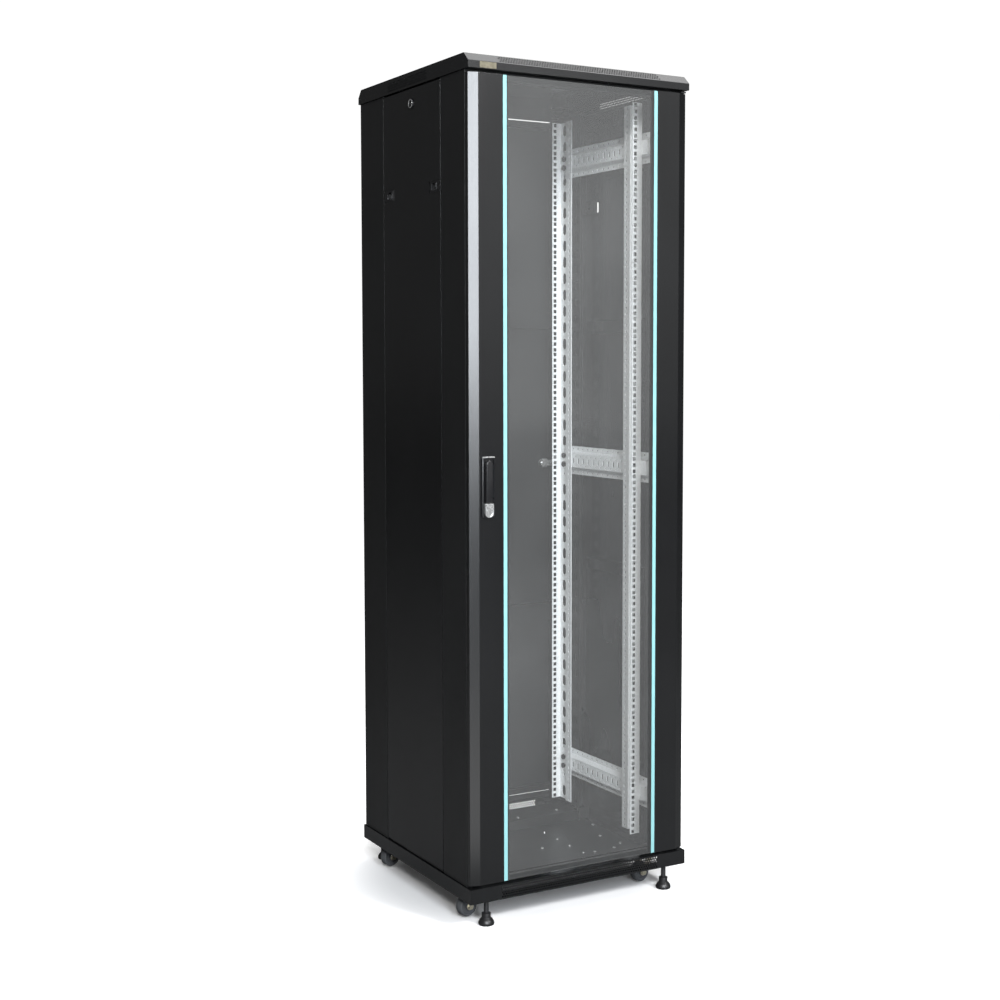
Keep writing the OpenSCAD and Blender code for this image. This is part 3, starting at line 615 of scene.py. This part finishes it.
def latch_rims():
    """A raised lip round the finger recess of each side latch."""
    along, upright = 26 * MM, 19 * MM
    lip = in_mm([(1.0, 0), (0.8, 0.7), (-0.6, 1.2), (-1, 0.9), (-1, 0)])
    for side, word in SIDES:
        for end, place in ((-1, "front"), (1, "rear")):
            body = f"side_latch_{word}_{place}"
            low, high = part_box(body)
            face = (low[0] if side < 0 else high[0]) - side * 0.3 * MM
            y = (low[1] + high[1]) / 2 - end * 6 * MM
            matrix = facing((side, 0, 0), (face, y, (low[2] + high[2]) / 2))
            # The lip is longer along Y, whichever of the matrix's own axes that is
            turn = matrix.to_3x3().inverted() @ Vector((0, 1, 0))
            size = (along, upright) if abs(turn.x) > 0.5 else (upright, along)
            bm = bmesh.new()
            rim(bm, matrix, rounded(size[0], size[1], 3.5 * MM), lip)
            add_piece(body + "_rim", bm, "black_plastic", body, edge=0.2 * MM)


def lock_rings():
    """The plated ring round each side panel's lock and the nut behind the rear door's lock."""
    inner = 8.6 * MM
    ring = [(inner, -0.6 * MM), (inner, 0.3 * MM), (inner + 1 * MM, 0.7 * MM),
            (inner + 1.8 * MM, 0.5 * MM), (inner + 2.4 * MM, -0.6 * MM)]
    for side, word in SIDES:
        low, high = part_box("panel_lock_body_" + word)
        face = low[0] if side < 0 else high[0]
        matrix = facing((side, 0, 0), (face, 0, (low[2] + high[2]) / 2))
        bm = bmesh.new()
        lathe(bm, matrix, ring, steps=40, closed=True)
        add_piece("panel_lock_ring_" + word, bm, "lock_metal", "side_panel_" + word, edge=0.15 * MM)

    low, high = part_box("rear_lock_body")
    place = ((low[0] + high[0]) / 2, low[1] + 3 * MM, (low[2] + high[2]) / 2)
    nut = in_mm([(10.1, 0), (13.5, 0), (13.5, -3), (12.8, -4), (10.1, -4)])
    bm = bmesh.new()
    lathe(bm, facing(FORWARD, place), nut, steps=6, closed=True)
    add_piece("rear_lock_nut", bm, "lock_metal", "rear_door", edge=0.3 * MM)


def panel_stiffeners():
    """Two pressed hat channels glued across the inside of each side panel."""
    margin = 22 * MM
    section = in_mm([(0, -30), (1, -30), (1, -18), (9, -14), (9, 14), (1, 18), (1, 30), (0, 30),
                     (0, 17), (8, 13), (8, -13), (0, -17)])
    for side, word in SIDES:
        body = "side_panel_" + word
        low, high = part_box(body)
        wall = (high[0] if side > 0 else low[0]) - side * 1.4 * MM
        for number, share in ((1, 0.36), (2, 0.70)):
            z = low[2] + (high[2] - low[2]) * share
            # The section's first axis points inwards, its second one up, and it runs along Y
            matrix = Matrix(((-side, 0, 0, wall),
                             (0, 0, 1, low[1] + margin),
                             (0, 1, 0, z),
                             (0, 0, 0, 1)))
            bm = bmesh.new()
            prism(bm, matrix, section, high[1] - low[1] - 2 * margin)
            add_piece(f"{body}_stiffener_{number}", bm, "outer_paint", body, edge=0.4 * MM)


# ---- Base and roof --------------------------------------------------------------------------

def floor_screws():
    """The screws in the low floor and on its steps, the same on both sides of the middle."""
    low_floor_z = 62
    step_z = 88
    low_floor = [(126, 89), (126, 22), (126, -43), (126, -110), (53, -24), (156, -119), (218, -115),
                 (254, -89), (242, -9), (279, 85)]
    steps = [(90, 170), (219, 181)]
    bm = bmesh.new()
    for places, z in ((low_floor, low_floor_z), (steps, step_z)):
        for x, y in places:
            for side in (-1, 1):
                place = (side * x * MM, y * MM, z * MM)
                cross_screw(bm, place, UP, radius=4.2 * MM, height=2.0 * MM)
    add_piece("floor_screws", bm, "lock_metal", "cabinet")


def fan_cover_screws():
    """The screws that hold the fan cover down."""
    low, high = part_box("fan_cover")
    inset = 5 * MM
    bm = bmesh.new()
    for fx in (-1, 0, 1):
        for fy in (-1, 1):
            x = fx * (high[0] - inset)
            y = (low[1] + high[1]) / 2 + fy * ((high[1] - low[1]) / 2 - inset)
            cross_screw(bm, (x, y, high[2]), UP, radius=3.4 * MM, height=1.8 * MM)
    add_piece("fan_cover_screws", bm, "black_steel", "cabinet")


def fan_cover_seal():
    """A thin bead where the fan cover meets the roof."""
    low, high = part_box("fan_cover")
    gap = 1 * MM
    bm = bmesh.new()
    matrix = facing(UP, ((low[0] + high[0]) / 2, (low[1] + high[1]) / 2, low[2]))
    rim(bm, matrix, rounded(high[0] - low[0] + gap, high[1] - low[1] + gap, 2 * MM),
        in_mm([(0.6, 4.0), (0.9, 4.7), (-0.4, 5.3), (-0.6, 4.0)]))
    add_piece("fan_cover_seal", bm, "black_plastic", "cabinet")


def door_top_seal():
    """A rubber lip under the roof that closes the gap above the rear door."""
    door_low, door_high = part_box("rear_door")
    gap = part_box("corner_post_rear_left")[1][2] - door_high[2]
    lip = in_mm([(0, 0), (2.6, 0), (2.6, 0.9), (1.6, 1), (1.2, gap / MM - 0.3),
                 (0.4, gap / MM - 0.2), (0, 1)])
    # The lip's first axis points back, its second one down, and it runs along X
    matrix = Matrix(((0, 0, 1, door_low[0]),
                     (1, 0, 0, door_low[1] + 3 * MM),
                     (0, -1, 0, door_high[2] + gap),
                     (0, 0, 0, 1)))
    bm = bmesh.new()
    prism(bm, matrix, lip, door_high[0] - door_low[0])
    add_piece("rear_door_top_seal", bm, "black_plastic", "cabinet")


# ---- Castors --------------------------------------------------------------------------------

def joint_axis(body):
    """The axis of the joint that carries a body."""
    joint = next(j for j in frame["record"]["behaviour"]["joints"] if j["child"] == body)
    return joint["axis"]


def tread_lines():
    """The parting line round each wheel's tread."""
    for corner in ("front_left", "front_right", "rear_left", "rear_right"):
        wheel = "castor_wheel_" + corner
        low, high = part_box(wheel)
        radius = (high[2] - low[2]) / 2
        line = [(radius - 0.3 * MM, -0.5 * MM), (radius, -0.3 * MM), (radius, 0.3 * MM),
                (radius - 0.3 * MM, 0.5 * MM), (radius - 1 * MM, 0)]
        bm = bmesh.new()
        lathe(bm, facing(joint_axis(wheel), middle(low, high)), line, steps=72, closed=True)
        add_piece("tread_line_" + corner, bm, "castor_tread", wheel)


make_camera()
make_world()
make_lights()
make_floor()
paint_nodes()
round_edges()
lock_trim()
lever()
latch_rims()
glass_seal()
door_screws()
lock_rings()
panel_stiffeners()
floor_screws()
fan_cover_screws()
fan_cover_seal()
door_top_seal()
tread_lines()
